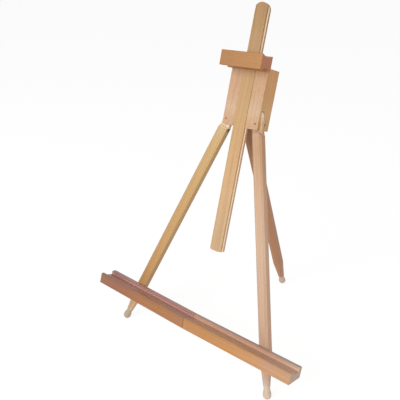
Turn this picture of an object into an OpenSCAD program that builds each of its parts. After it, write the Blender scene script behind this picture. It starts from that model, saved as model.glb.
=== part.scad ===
// Folding table easel in beech: two front legs and a rear leg pinned in a
// head block, a T-section mast that slides through the block, a canvas holder
// that slides on the mast, and a grooved tray in two hinged halves.
//
// The legs, the tray and the head block form one flat linkage.  It is drawn in
// the plane of the front legs, which leans back by "lean".  In that plane x runs
// to the right, y runs backwards from the front face and z runs up.

/* [Stance] */
// Lean of the mast and the front legs from upright, in degrees
lean = 19; // [10:0.5:24]
// Distance between the two front feet
stance = 386.5; // [340:1:440]
// Turn of the head block between the legs, seen from the front, in degrees
sway = 2.1; // [-2.5:0.1:2.5]
// Angle between the mast and the opened rear leg, in degrees
rear_open = 39.2; // [32:0.1:46]

/* [Legs] */
// Side of the square leg
leg_w = 21.5; // [16:0.5:24]
// Chamfer along the four edges of a leg
leg_chamfer = 4.3; // [1:0.1:5]
// Front leg, from its pin to the centre of its foot bulb
leg_reach = 523.5; // [420:1:620]
// Distance from a front leg's pin down to its shoulder
shoulder_drop = 16.5; // [15:0.25:22]
// Radius of the shoulder's outer corner
shoulder_r = 8.5; // [1:0.5:9]
// Thickness of the tongue that enters the head block
tongue_t = 8.6; // [6:0.1:10]
// Height of the tongue above the pin
tongue_top = 24; // [14:0.5:25]
// Radius of the outer corner at the tongue's top
tongue_corner_r = 4; // [2:0.25:8]
// Radius of a leg where it meets its foot tip
ankle_r = 7.2; // [5:0.1:8]
// Length of the taper above the foot tip
taper_len = 58; // [40:1:90]

/* [Foot tips] */
// Radius of the bulb that stands on the table
bulb_r = 8.2; // [5.5:0.1:9]
// Radius of the neck above the bulb
neck_r = 6.2; // [4:0.1:7]
// Height of a foot tip
tip_len = 28; // [22:0.5:36]
// Radius of the spigot that carries the tip
spigot_r = 3; // [2:0.1:3.5]
// Length of the spigot
spigot_len = 15; // [8:0.5:18]

/* [Head block] */
// Width of the block
head_w = 81; // [76:0.5:96]
// Depth of the block, front to back
head_d = 42; // [38:0.5:50]
// Height of the block above the leg pins
head_top = 104.5; // [95:0.5:140]
// Depth of the block below the leg pins
head_below = 11.5; // [9:0.25:13]
// Distance of each front leg pin from the middle
pin_x = 34; // [32:0.25:38]
// Set-back of the legs from the front face
leg_inset = 1.5; // [0:0.1:3]
// Inner end of a leg slot, from the middle
slot_inner = 18.3; // [17:0.1:20]
// Distance of the rear leg pin behind the front face
rear_pin_y = 26.5; // [25:0.25:32]
// Reach of the rear leg's heel in front of its pin
heel_reach = 11.2; // [10.8:0.1:12]
// Reach of the rear leg above its pin
heel_top = 16.4; // [14:0.2:20]

/* [Mast] */
// Width of the mast's front face
mast_w = 26; // [22:0.5:28]
// Width across the two flanges behind the front face
flange_w = 32; // [28:0.5:34]
// Depth of the front face before the flanges
mast_front_t = 2.8; // [2:0.1:5]
// Whole thickness of the mast
mast_t = 9; // [8:0.25:11]
// How far the mast's front face stands in front of the block
mast_proud = 0.8; // [0:0.1:2]
// Top of the mast above the leg pins
mast_top = 222.5; // [180:0.5:300]
// Length of the mast
mast_len = 487; // [400:1:560]
// Radius of the crowned bottom end
mast_crown_r = 60; // [40:1:120]

/* [Canvas holder] */
// Length of the holder
holder_len = 91; // [70:1:140]
// Depth of the holder, front to back
holder_d = 37; // [32:0.5:44]
// Height of the holder's front
holder_h = 28; // [20:0.5:32]
// Bottom of the holder above the leg pins
holder_z = 97.5; // [95:0.5:104]
// Depth of the cove in the top
cove_depth = 3.4; // [1:0.1:5]
// Width of the cove in the top
cove_w = 33; // [20:0.5:34]
// Thickness of the front lip under the holder
holder_lip_t = 9; // [6:0.5:12]
// Thickness of the rear ridge under the holder
holder_ridge_t = 9.5; // [6:0.5:12]
// Drop of the rear ridge below the front lip
holder_ridge_drop = 0.5; // [0:0.25:4]
// Depth of the canvas groove under the holder
holder_groove = 5; // [3:0.5:10]
// Width of the yoke that grips the mast
yoke_w = 50; // [44:0.5:60]
// Height of the yoke
yoke_h = 18; // [14:0.5:20]
// Wall of the yoke behind the mast
yoke_wall = 7; // [6:0.5:12]

/* [Tray] */
// Whole length of the tray
tray_len = 495; // [400:1:640]
// Height of the tray
tray_h = 23; // [20:0.5:32]
// Depth of the tray, front to back
tray_d = 44.5; // [34:0.5:52]
// Distance down a front leg from its pin to the tray's pivot
tray_arm = 437.5; // [330:0.5:460]
// Shift of the tray's seam from the middle of its pivots
tray_shift = 2; // [-4:0.5:4]
// Sag of the tray's seam below the line of its pivots
tray_sag = 1.8; // [0:0.1:4]
// Thickness of the tray's front lip
lip_t = 7.5; // [4:0.25:10]
// Thickness of the tray's rear ridge
ridge_t = 11; // [8:0.25:14]
// Depth of the tray's groove at the front
groove_front = 5.5; // [3:0.25:8]
// Depth of the tray's groove at the back
groove_back = 8; // [5:0.25:12]

/* [Tray hinge] */
// Length of one hinge leaf
leaf_len = 26; // [18:0.5:40]
// Width of the hinge along its pin
leaf_w = 24; // [18:0.5:28]
// Thickness of a hinge leaf
leaf_t = 1.4; // [1:0.1:2]
// Outer radius of a hinge knuckle
knuckle_r = 2.4; // [2:0.1:3]
// Radius of the hinge pin
hinge_pin_r = 1; // [0.8:0.1:1.5]

/* [Hardware] */
// Radius of a front leg pin
leg_pin_r = 2; // [1.5:0.1:2.5]
// Length of a front leg pin
leg_pin_len = 21.5; // [18:0.5:22]
// Radius of the rear leg pin
rear_pin_r = 2.5; // [2:0.1:3]
// Radius of a tray bolt
bolt_r = 2.5; // [2:0.1:3]
// Length of a tray bolt's thread inside the tray
bolt_grip = 9.5; // [7:0.5:11]
// Radius of a tray bolt's domed head
bolt_head_r = 5; // [4:0.25:6]
// Height of a tray bolt's domed head
bolt_head_h = 3; // [2:0.25:4]
// Radius of a tray bolt's washer
washer_r = 6.5; // [5.5:0.25:8]
// Thickness of a washer
washer_t = 1; // [0.8:0.1:2]
// Radius of a lock screw
stud_r = 2.5; // [2:0.1:3]
// Radius of a threaded insert
insert_r = 3.5; // [3.3:0.1:5]
// Height of the mast's lock screw above the leg pins
mast_lock_z = 62; // [40:1:85]
// Radius of the mast's star knob
mast_knob_r = 16; // [12:0.5:20]
// Thickness of the mast's star knob
mast_knob_t = 14; // [10:0.5:20]
// Radius of the holder's star knob
holder_knob_r = 6.75; // [6:0.25:7.5]
// Thickness of the holder's star knob
holder_knob_t = 9; // [8:0.5:12]
// Number of lobes on a knob
knob_lobes = 6; // [5:1:8]

/* [Fits] */
// Gap between parts that slide or fold past each other
slide_gap = 0.3; // [0.25:0.05:0.5]
// Radial gap between a pin or bolt and its hole
pin_gap = 0.06; // [0.03:0.01:0.1]

/* [Hidden] */

$fn = 64;
eps = 0.01;

wood = [0.83, 0.66, 0.47];
wood_dark = [0.73, 0.55, 0.36];
wood_red = [0.72, 0.5, 0.38];
cream = [0.84, 0.78, 0.66];
steel = [0.66, 0.67, 0.68];
brass = [0.78, 0.62, 0.32];
black = [0.13, 0.13, 0.14];

// The two front legs: with both feet on the table the half sum and the half
// difference of their angles follow from the stance and the sway.
pin_rise = pin_x * sin(sway);
half_spread = (stance - 2 * pin_x * cos(sway)) / 2;
splay_mean = asin(norm([half_spread, pin_rise]) / leg_reach);
splay_diff = atan2(pin_rise, half_spread);
left_angle = splay_mean + splay_diff;
right_angle = splay_mean - splay_diff;
left_splay = left_angle + sway;
right_splay = right_angle - sway;

// Height of the leg pins: the bulbs of the front feet touch the table.
leg_y = leg_inset + leg_w / 2;
feet_drop = leg_reach * cos(left_angle) + pin_rise;
pin_height = bulb_r + feet_drop * cos(lean) + leg_y * sin(lean);

// The rear leg is as long as it needs to be to stand on the same table.
rear_fall = cos(rear_open) * cos(sway) * cos(lean) + sin(rear_open) * sin(lean);
rear_reach = (pin_height - rear_pin_y * sin(lean) - bulb_r) / rear_fall;
rear_foot_y = (rear_pin_y + rear_reach * sin(rear_open)) * cos(lean)
            - rear_reach * cos(rear_open) * cos(sway) * sin(lean);

// The tray hangs on the pivots of the two front legs.
pivot_left = [-pin_x * cos(sway) - tray_arm * sin(left_angle),
              -pin_rise - tray_arm * cos(left_angle)];
pivot_right = [pin_x * cos(sway) + tray_arm * sin(right_angle),
               pin_rise - tray_arm * cos(right_angle)];
tray_tilt = atan2(pivot_right[1] - pivot_left[1], pivot_right[0] - pivot_left[0]);
tray_mid = (pivot_left + pivot_right) / 2 + tray_shift * [cos(tray_tilt), sin(tray_tilt)]
         - tray_sag * [-sin(tray_tilt), cos(tray_tilt)];
pivot_left_x = -norm(tray_mid - pivot_left);
pivot_right_x = norm(pivot_right - tray_mid);
tilt_left = atan2(tray_mid[1] - pivot_left[1], tray_mid[0] - pivot_left[0]);
tilt_right = atan2(pivot_right[1] - tray_mid[1], pivot_right[0] - tray_mid[0]);
tray_back = leg_inset - slide_gap;
tray_front = tray_back - tray_d;
seam_gap = slide_gap;

// The origin is under the middle of the whole easel.
front_edge_y = (tray_mid[1] - tray_h / 2) * sin(lean) + tray_front * cos(lean);
origin_x = -tray_mid[0];
origin_y = -(front_edge_y + rear_foot_y + bulb_r) / 2;

slot_t = tongue_t + 2 * slide_gap;
// The slot clears the tongue's outer corner as the leg swings.
tongue_sweep = norm([leg_w / 2 - tongue_corner_r, tongue_top - tongue_corner_r]) + tongue_corner_r;
slot_top = tongue_sweep + slide_gap;
mast_bottom = mast_top - mast_len;
groove_t = mast_t + slide_gap;
rear_slot_w = leg_w + 2 * slide_gap;
rear_slot_top = heel_top + 1;
insert_len = 12;

holder_back = -mast_proud - slide_gap;
yoke_back = mast_t + slide_gap + yoke_wall;
yoke_z = holder_z + holder_h - yoke_h - 1;
holder_lock_z = head_top + holder_knob_r + 0.7;
yoke_screw_x = (flange_w / 2 + slide_gap + yoke_w / 2) / 2;
yoke_screw_r = 1.5;
yoke_screw_head_r = 3;
yoke_screw_depth = 16;

hinge_drop = knuckle_r + 0.4;
knuckle_gap = 0.2;
knuckle_len = leaf_w / 3;
leaf_screw_r = 1;
leaf_screw_head_r = 2;
leaf_screw_len = 9;

// ---- frames -------------------------------------------------------------

// Plane of the front legs, with its origin midway between the two leg pins
module leg_plane() {
    translate([origin_x, origin_y, pin_height]) rotate([-lean, 0, 0]) children();
}

module head_frame() {
    leg_plane() rotate([0, -sway, 0]) children();
}

module left_leg_frame() {
    head_frame() translate([-pin_x, 0, 0]) rotate([0, left_splay, 0]) children();
}

module right_leg_frame() {
    head_frame() translate([pin_x, 0, 0]) rotate([0, -right_splay, 0]) children();
}

module rear_leg_frame() {
    head_frame() translate([0, rear_pin_y, 0]) rotate([rear_open, 0, 0]) children();
}

// Middle of the tray at the height of its pivots, level with the legs' front
// Frame of one half of the tray, with its origin on the seam; side is -1 for the left half
module tray_frame(side) {
    tilt = side > 0 ? tilt_right : tilt_left;
    leg_plane() translate([tray_mid[0], 0, tray_mid[1]]) rotate([0, -tilt, 0]) children();
}

// ---- shapes used more than once -------------------------------------------

// Cylinder along y, from y0 to y1
module rod_y(r, y0, y1) {
    translate([0, y1, 0]) rotate([90, 0, 0]) cylinder(r = r, h = y1 - y0);
}

// Extrusion along x of an outline drawn in (y, z), from x0 to x1
module extrude_x(x0, x1) {
    translate([x0, 0, 0]) rotate([90, 0, 90]) linear_extrude(x1 - x0) children();
}

// Chamfered square bar about the z axis
module leg_bar(z0, z1) {
    s = leg_w / 2;
    c = s - leg_chamfer;
    translate([0, 0, z0]) linear_extrude(z1 - z0)
        polygon([[-s, -c], [-c, -s], [c, -s], [s, -c], [s, c], [c, s], [-c, s], [-s, c]]);
}

// Cone that turns the end of a leg down to its ankle, and the spigot below it
module ankle_cone(reach) {
    ankle_z = tip_len - bulb_r - reach;
    translate([0, 0, ankle_z])
        cylinder(r1 = ankle_r, r2 = leg_w * 0.6, h = taper_len);
    translate([0, 0, ankle_z + taper_len - eps])
        cylinder(r = leg_w, h = reach + tongue_top + leg_w);
}

module spigot(reach) {
    translate([0, 0, tip_len - bulb_r - reach - spigot_len])
        cylinder(r = spigot_r, h = spigot_len + 1);
}

// Turned tip: a bulb on a waisted neck with a small collar
module foot_tip(reach) {
    collar_h = 3;
    neck_z = tip_len * 0.72;
    translate([0, 0, -bulb_r - reach]) difference() {
        union() {
            translate([0, 0, bulb_r]) sphere(r = bulb_r);
            translate([0, 0, bulb_r]) cylinder(r1 = bulb_r, r2 = bulb_r, h = 3);
            translate([0, 0, bulb_r + 3]) cylinder(r1 = bulb_r, r2 = neck_r, h = neck_z - bulb_r - 3);
            translate([0, 0, neck_z]) cylinder(r1 = neck_r, r2 = ankle_r, h = tip_len - collar_h - neck_z);
            translate([0, 0, tip_len - collar_h]) cylinder(r = ankle_r, h = collar_h);
        }
        translate([0, 0, tip_len - spigot_len - 0.5])
            cylinder(r = spigot_r + pin_gap, h = spigot_len + 1);
    }
}

// Front leg in its own frame; side is -1 for the left leg and 1 for the right
module front_leg(side) {
    half = leg_w / 2;
    difference() {
        union() {
            intersection() {
                leg_bar(tip_len - bulb_r - leg_reach, -shoulder_drop);
                ankle_cone(leg_reach);
            }
            // tongue, with a full round at its inner corner
            translate([-half, -tongue_t / 2, -shoulder_drop - eps])
                cube([leg_w, tongue_t, shoulder_drop + tongue_top - half + eps]);
            translate([0, 0, tongue_top - half]) rod_y(half, -tongue_t / 2, tongue_t / 2);
            tongue_corner(side);
            spigot(leg_reach);
        }
        // rounded outer corner of the two shoulders
        for (y = [-1, 1])
            translate([side * (half - shoulder_r), y * (half + tongue_t / 2) / 2, -shoulder_drop - shoulder_r])
                shoulder_round(side);
        rod_y(leg_pin_r + pin_gap, -leg_w, leg_w);
        translate([0, 0, -tray_arm]) rod_y(bolt_r + pin_gap, -leg_w, leg_w);
    }
}

// Outer side of a tongue's top, with a small round at its corner
module tongue_corner(side) {
    half = leg_w / 2;
    inset = half - tongue_corner_r;
    translate([side > 0 ? 0 : -half, -tongue_t / 2, 0])
        cube([half, tongue_t, tongue_top - tongue_corner_r]);
    translate([side > 0 ? 0 : -inset, -tongue_t / 2, 0]) cube([inset, tongue_t, tongue_top]);
    translate([side * inset, 0, tongue_top - tongue_corner_r])
        rod_y(tongue_corner_r, -tongue_t / 2, tongue_t / 2);
}

// What the rounding of a shoulder takes away, centred on the round
module shoulder_round(side) {
    width = (leg_w - tongue_t) / 2;
    difference() {
        translate([side > 0 ? 0 : -shoulder_r - 1, -width / 2, 0])
            cube([shoulder_r + 1, width, shoulder_r + 1]);
        rod_y(shoulder_r, -leg_w, leg_w);
    }
}

// Washer about the y axis, on the back of a leg
module washer() {
    y0 = leg_w / 2;
    difference() {
        rod_y(washer_r, y0, y0 + washer_t);
        rod_y(bolt_r + pin_gap, y0 - 1, y0 + washer_t + 1);
    }
}

// Bolt with a domed head behind the washer; y0 is the end of its thread
module tray_bolt(y0, head_gap) {
    head_y = leg_w / 2 + washer_t + head_gap;
    dome_r = (bolt_head_r * bolt_head_r + bolt_head_h * bolt_head_h) / (2 * bolt_head_h);
    difference() {
        union() {
            rod_y(bolt_r, y0, head_y + eps);
            intersection() {
                rod_y(bolt_head_r, head_y, head_y + bolt_head_h);
                translate([0, head_y + bolt_head_h - dome_r, 0]) sphere(r = dome_r);
            }
        }
        // screwdriver slot
        translate([-bolt_head_r, head_y + bolt_head_h - 1, -0.5])
            cube([2 * bolt_head_r, 2, 1]);
    }
}

// Star knob about the y axis, with a boss in front and a domed back
module star_knob(r, t, y0) {
    boss_h = t * 0.25;
    lobe_r = r * 0.3;
    dome_r = r * 2.2;
    difference() {
        union() {
            rod_y(r * 0.55, y0, y0 + boss_h + eps);
            intersection() {
                rod_y(r, y0 + boss_h, y0 + t);
                translate([0, y0 + t - dome_r, 0]) sphere(r = dome_r);
            }
        }
        for (i = [0 : knob_lobes - 1])
            rotate([0, (i + 0.5) * 360 / knob_lobes, 0])
                translate([r * 1.1, 0, 0]) rod_y(lobe_r, y0 + boss_h - 1, y0 + t + 1);
        rod_y(stud_r, y0 - 1, y0 + t * 0.7);
    }
}

// Threaded insert about the y axis with a bore for a screw of radius r
module insert(r_out, r, y0, y1) {
    difference() {
        rod_y(r_out, y0, y1);
        rod_y(r + pin_gap, y0 - 1, y1 + 1);
    }
}

// ---- head block and its pins ------------------------------------------------

// Slot for the tongue of one front leg, open at the side and at the bottom
module leg_slot(side) {
    outer = head_w / 2 + 1;
    translate([side > 0 ? slot_inner : -outer, leg_y - slot_t / 2, -head_below - 1])
        cube([outer - slot_inner, slot_t, slot_top + head_below + 1]);
}

module head_block() {
    color(wood_dark) head_frame() difference() {
        translate([-head_w / 2, 0, -head_below]) cube([head_w, head_d, head_top + head_below]);
        // T-groove for the mast
        translate([-mast_w / 2 - slide_gap, -1, -head_below - 1])
            cube([mast_w + 2 * slide_gap, groove_t + 1, head_top + head_below + 2]);
        translate([-flange_w / 2 - slide_gap, mast_front_t - slide_gap, -head_below - 1])
            cube([flange_w + 2 * slide_gap, groove_t - mast_front_t + slide_gap,
                  head_top + head_below + 2]);
        for (side = [-1, 1]) {
            leg_slot(side);
            translate([side * pin_x, 0, 0]) rod_y(leg_pin_r, -1, leg_pin_len);
        }
        // slot for the rear leg, open at the back and at the bottom
        translate([-rear_slot_w / 2, rear_pin_y - heel_reach, -head_below - 1])
            cube([rear_slot_w, head_d, rear_slot_top + head_below + 1]);
        translate([-head_w, rear_pin_y, 0]) rotate([0, 90, 0]) cylinder(r = rear_pin_r, h = 2 * head_w);
        // lock screw and its insert
        translate([0, 0, mast_lock_z]) {
            rod_y(stud_r + slide_gap, 0, head_d);
            rod_y(insert_r + 0.5, head_d - insert_len, head_d + 1);
        }
    }
}

module leg_pin(side) {
    head_frame() translate([side * pin_x, 0, 0]) rod_y(leg_pin_r, 0.3, leg_pin_len);
}

module left_leg_pin() { color(steel) leg_pin(-1); }
module right_leg_pin() { color(steel) leg_pin(1); }

module rear_leg_pin() {
    color(steel) head_frame() translate([-head_w / 2 + 0.5, rear_pin_y, 0])
        rotate([0, 90, 0]) cylinder(r = rear_pin_r, h = head_w - 1);
}

module mast_lock_insert() {
    color(brass) head_frame() translate([0, 0, mast_lock_z])
        insert(insert_r + 0.5, stud_r, head_d - insert_len, head_d);
}

// ---- mast and its lock --------------------------------------------------------

module mast() {
    front = mast_w / 2;
    flange = flange_w / 2;
    depth = mast_proud + mast_t + 2;
    color(wood) head_frame() intersection() {
        translate([0, 0, mast_bottom]) linear_extrude(mast_len)
            polygon([[-front, -mast_proud], [front, -mast_proud],
                     [front, mast_front_t], [flange, mast_front_t],
                     [flange, mast_t], [-flange, mast_t], [-flange, mast_front_t],
                     [-front, mast_front_t]]);
        // round top end
        union() {
            translate([-flange_w, -mast_proud - 1, mast_bottom - 1])
                cube([2 * flange_w, depth, mast_len + 1 - flange]);
            translate([0, 0, mast_top - flange]) rod_y(flange, -mast_proud - 1, mast_t + 1);
        }
        // crowned bottom end
        union() {
            translate([0, 0, mast_bottom + mast_crown_r])
                rod_y(mast_crown_r, -mast_proud - 1, mast_t + 1);
            translate([-flange_w, -mast_proud - 1, mast_bottom + mast_crown_r])
                cube([2 * flange_w, depth, mast_len]);
        }
    }
}

module mast_lock_screw() {
    color(steel) head_frame() translate([0, 0, mast_lock_z])
        rod_y(stud_r, mast_t + slide_gap, head_d + 1.5 + mast_knob_t * 0.7);
}

module mast_knob() {
    color(black) head_frame() translate([0, 0, mast_lock_z])
        star_knob(mast_knob_r, mast_knob_t, head_d + 1.5);
}

// ---- canvas holder --------------------------------------------------------------

// Section of the holder in (y, z), with y = 0 at its back and z = 0 under its lip
module holder_section() {
    cove_r = (cove_w * cove_w / 4 + cove_depth * cove_depth) / (2 * cove_depth);
    ridge_y = -holder_ridge_t;
    lip_y = holder_lip_t - holder_d;
    difference() {
        union() {
            translate([-holder_d, 0]) square([holder_d, holder_h]);
            translate([ridge_y, -holder_ridge_drop]) square([holder_ridge_t, holder_h]);
        }
        translate([-holder_d / 2, holder_h - cove_depth + cove_r]) circle(r = cove_r, $fn = 128);
        polygon([[lip_y, -1], [lip_y, 0], [lip_y + 1, holder_groove * 0.6],
                 [ridge_y - 1, holder_groove], [ridge_y, holder_groove - 1], [ridge_y, -1]]);
    }
}

module canvas_holder() {
    color(wood_dark) head_frame() difference() {
        translate([0, holder_back, holder_z])
            extrude_x(-holder_len / 2, holder_len / 2) holder_section();
        for (side = [-1, 1])
            translate([side * yoke_screw_x, 0, holder_lock_z])
                rod_y(yoke_screw_r, holder_back - yoke_screw_depth, holder_back + 1);
    }
}

module holder_yoke() {
    color(wood) head_frame() difference() {
        translate([-yoke_w / 2, holder_back, yoke_z]) cube([yoke_w, yoke_back - holder_back, yoke_h]);
        translate([-flange_w / 2 - slide_gap, holder_back - 1, yoke_z - 1])
            cube([flange_w + 2 * slide_gap, mast_t + slide_gap - holder_back + 1, yoke_h + 2]);
        for (side = [-1, 1])
            translate([side * yoke_screw_x, 0, holder_lock_z]) {
                rod_y(yoke_screw_r, holder_back - 1, yoke_back + 1);
                rod_y(yoke_screw_head_r, yoke_back - 2, yoke_back + 1);
            }
        translate([0, 0, holder_lock_z]) rod_y(insert_r, mast_t, yoke_back + 1);
    }
}

module holder_screws() {
    color(steel) head_frame() for (side = [-1, 1])
        translate([side * yoke_screw_x, 0, holder_lock_z]) difference() {
            union() {
                rod_y(yoke_screw_r, holder_back - yoke_screw_depth, yoke_back - 2 + eps);
                rod_y(yoke_screw_head_r, yoke_back - 2, yoke_back - 0.3);
            }
            translate([-yoke_screw_head_r, yoke_back - 1, -0.4]) cube([2 * yoke_screw_head_r, 2, 0.8]);
        }
}

module holder_lock_insert() {
    color(brass) head_frame() translate([0, 0, holder_lock_z])
        insert(insert_r, stud_r, mast_t + 1, yoke_back);
}

module holder_lock_screw() {
    color(steel) head_frame() translate([0, 0, holder_lock_z])
        rod_y(stud_r, mast_t + slide_gap, yoke_back + 1 + holder_knob_t * 0.7);
}

module holder_knob() {
    color(black) head_frame() translate([0, 0, holder_lock_z])
        star_knob(holder_knob_r, holder_knob_t, yoke_back + 1);
}

// ---- legs ---------------------------------------------------------------------------

module left_leg() {
    color(wood) left_leg_frame() translate([0, leg_y, 0]) front_leg(-1);
}

module right_leg() {
    color(wood) right_leg_frame() translate([0, leg_y, 0]) front_leg(1);
}

// Side outline of the rear leg about its pin: the heel's upper face lies on the
// front wall of its slot when the leg is open
module rear_leg_outline() {
    half = leg_w / 2;
    far = rear_reach + 50;
    heel_clear = heel_reach * cos(rear_open / 2) - 0.1;
    intersection() {
        translate([-half, -far]) square([leg_w, far + heel_top]);
        union() {
            circle(r = heel_top);
            translate([-half, -far]) square([leg_w, far]);
        }
        // face that meets the slot's front wall, and the facet that clears it on the way
        rotate(-rear_open) translate([-heel_reach, -far]) square([2 * far, 2 * far]);
        rotate(-rear_open / 2) translate([-heel_clear, -far]) square([2 * far, 2 * far]);
    }
}

module rear_leg() {
    color(wood_red) rear_leg_frame() difference() {
        union() {
            intersection() {
                leg_bar(tip_len - bulb_r - rear_reach, heel_top + 1);
                ankle_cone(rear_reach);
                extrude_x(-leg_w, leg_w) rear_leg_outline();
            }
            spigot(rear_reach);
        }
        translate([-leg_w, 0, 0]) rotate([0, 90, 0]) cylinder(r = rear_pin_r + pin_gap, h = 2 * leg_w);
    }
}

module left_foot_tip() {
    color(cream) left_leg_frame() translate([0, leg_y, 0]) foot_tip(leg_reach);
}

module right_foot_tip() {
    color(cream) right_leg_frame() translate([0, leg_y, 0]) foot_tip(leg_reach);
}

module rear_foot_tip() {
    color(cream) rear_leg_frame() foot_tip(rear_reach);
}

module left_tray_washer() {
    color(steel) left_leg_frame() translate([0, leg_y, -tray_arm]) washer();
}

module right_tray_washer() {
    color(steel) right_leg_frame() translate([0, leg_y, -tray_arm]) washer();
}

// The right bolt ends level with the front of its leg
module right_tray_bolt() {
    color(steel) right_leg_frame() translate([0, leg_y, -tray_arm]) tray_bolt(-leg_w / 2, 0);
}

// ---- tray ------------------------------------------------------------------------------

// Section of the tray in (y, z), with y = 0 at its back and z = 0 at its bottom
module tray_section() {
    ease = 1.5;
    f = -tray_d;
    polygon([[f + ease, 0], [f, ease], [f, tray_h - ease], [f + ease, tray_h],
             [f + lip_t - ease, tray_h], [f + lip_t, tray_h - ease],
             [f + lip_t + 1, tray_h - groove_front],
             [-ridge_t - 1, tray_h - groove_back], [-ridge_t, tray_h - groove_back + 1],
             [-ridge_t, tray_h - ease], [-ridge_t + ease, tray_h], [-ease, tray_h],
             [0, tray_h - ease], [0, ease], [-ease, 0]]);
}

// Turn of one half against the line of the pivots
function half_turn(side) = (side > 0 ? tilt_right : tilt_left) - tray_tilt;

// Half of the tray in its own frame.  Its end stands back from the seam, so that the
// upper edges of the two halves are a seam gap apart although the seam sags.
module tray_half(side) {
    seam_end = seam_gap / 2 + tray_h / 2 * tan(abs(half_turn(side)));
    x0 = side > 0 ? seam_end : -tray_len / 2;
    pivot_x = side > 0 ? pivot_right_x : pivot_left_x;
    difference() {
        translate([0, tray_back, -tray_h / 2])
            extrude_x(x0, x0 + tray_len / 2 - seam_end) tray_section();
        translate([pivot_x, 0, 0]) rod_y(insert_r, tray_back - bolt_grip - 1, tray_back + 1);
        for (y = leaf_screw_y())
            translate([side * leaf_screw_x(), y, -tray_h / 2 - 1])
                cylinder(r = leaf_screw_r, h = leaf_screw_len + 1);
    }
}

function leaf_mid_y() = tray_back - tray_d / 2;
function leaf_screw_x() = leaf_len * 0.62;
function leaf_screw_y() = [leaf_mid_y() - leaf_w * 0.28, leaf_mid_y() + leaf_w * 0.28];

module tray_left() { color(wood_red) tray_frame(-1) tray_half(-1); }
module tray_right() { color(wood_dark) tray_frame(1) tray_half(1); }

module tray_insert(side, x) {
    color(brass) tray_frame(side) translate([x, 0, 0])
        insert(insert_r, bolt_r, tray_back - bolt_grip, tray_back);
}

module left_tray_insert() { tray_insert(-1, pivot_left_x); }
module right_tray_insert() { tray_insert(1, pivot_right_x); }

module left_tray_bolt() {
    color(steel) tray_frame(-1) translate([pivot_left_x, leg_y, 0])
        tray_bolt(tray_back - bolt_grip - leg_y, slide_gap);
}

// Place of the hinge pin in the frame of one half; the pin lies straight below the seam
function hinge_axis(side) =
    -(tray_h / 2 + hinge_drop) * [sin(half_turn(side)), 0, cos(half_turn(side))];

// Hinge leaf under one half; the left leaf has the two outer knuckles
module hinge_leaf(side) {
    y0 = leaf_mid_y() - leaf_w / 2;
    clear_x = knuckle_r + 0.4;
    own = side < 0 ? [0, 2] : [1];
    difference() {
        union() {
            translate([side > 0 ? clear_x : -leaf_len, y0, -tray_h / 2 - leaf_t])
                cube([leaf_len - clear_x, leaf_w, leaf_t]);
            for (i = own) {
                translate([side > 0 ? 0.4 : -clear_x - eps, y0 + i * knuckle_len + knuckle_gap / 2,
                           -tray_h / 2 - leaf_t])
                    cube([clear_x - 0.4 + eps, knuckle_len - knuckle_gap, leaf_t]);
                translate(hinge_axis(side))
                    rod_y(knuckle_r, y0 + i * knuckle_len + knuckle_gap / 2,
                          y0 + (i + 1) * knuckle_len - knuckle_gap / 2);
            }
        }
        translate(hinge_axis(side)) rod_y(hinge_pin_r + pin_gap, y0 - 1, y0 + leaf_w + 1);
        for (y = leaf_screw_y())
            translate([side * leaf_screw_x(), y, -tray_h / 2 - leaf_t - 1])
                cylinder(r = leaf_screw_head_r, h = leaf_t + 2);
    }
}

module left_hinge_leaf() { color(brass) tray_frame(-1) hinge_leaf(-1); }
module right_hinge_leaf() { color(brass) tray_frame(1) hinge_leaf(1); }

module hinge_pin() {
    color(steel) tray_frame(-1) translate(hinge_axis(-1))
        rod_y(hinge_pin_r, leaf_mid_y() - leaf_w / 2, leaf_mid_y() + leaf_w / 2);
}

module hinge_screws(side) {
    color(brass) tray_frame(side) for (y = leaf_screw_y())
        translate([side * leaf_screw_x(), y, -tray_h / 2]) difference() {
            union() {
                translate([0, 0, -leaf_t]) cylinder(r = leaf_screw_head_r, h = leaf_t);
                translate([0, 0, -eps]) cylinder(r = leaf_screw_r, h = leaf_screw_len);
            }
            translate([-leaf_screw_head_r, -0.3, -leaf_t - 1]) cube([2 * leaf_screw_head_r, 0.6, 1.5]);
        }
}

module left_hinge_screws() { hinge_screws(-1); }
module right_hinge_screws() { hinge_screws(1); }

head_block();
left_leg_pin();
right_leg_pin();
rear_leg_pin();
mast_lock_insert();
mast();
mast_lock_screw();
mast_knob();
canvas_holder();
holder_yoke();
holder_screws();
holder_lock_insert();
holder_lock_screw();
holder_knob();
left_leg();
left_foot_tip();
left_tray_washer();
right_leg();
right_foot_tip();
right_tray_washer();
right_tray_bolt();
rear_leg();
rear_foot_tip();
tray_left();
left_tray_insert();
left_tray_bolt();
left_hinge_leaf();
left_hinge_screws();
hinge_pin();
tray_right();
right_tray_insert();
right_hinge_leaf();
right_hinge_screws();
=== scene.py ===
import bpy
import bmesh
import numpy as np
from mathutils import Matrix, Vector


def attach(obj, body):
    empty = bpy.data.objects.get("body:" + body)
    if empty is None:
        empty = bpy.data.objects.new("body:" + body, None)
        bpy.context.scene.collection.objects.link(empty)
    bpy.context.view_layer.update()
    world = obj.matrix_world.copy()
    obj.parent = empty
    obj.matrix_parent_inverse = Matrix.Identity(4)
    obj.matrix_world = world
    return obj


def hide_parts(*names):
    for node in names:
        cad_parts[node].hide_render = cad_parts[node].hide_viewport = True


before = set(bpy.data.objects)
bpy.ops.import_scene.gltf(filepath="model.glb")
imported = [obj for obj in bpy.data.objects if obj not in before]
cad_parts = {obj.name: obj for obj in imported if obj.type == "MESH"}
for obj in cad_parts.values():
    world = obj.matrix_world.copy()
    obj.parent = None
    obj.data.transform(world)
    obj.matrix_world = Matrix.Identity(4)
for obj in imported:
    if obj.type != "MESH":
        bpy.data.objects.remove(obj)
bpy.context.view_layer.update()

# A beech table easel: head block, sliding mast and canvas holder, two front
# legs and a rear leg on cream tips, and a grooved tray in two halves.
# Lengths are in millimetres until a mesh is made, which turns them to metres.

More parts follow.
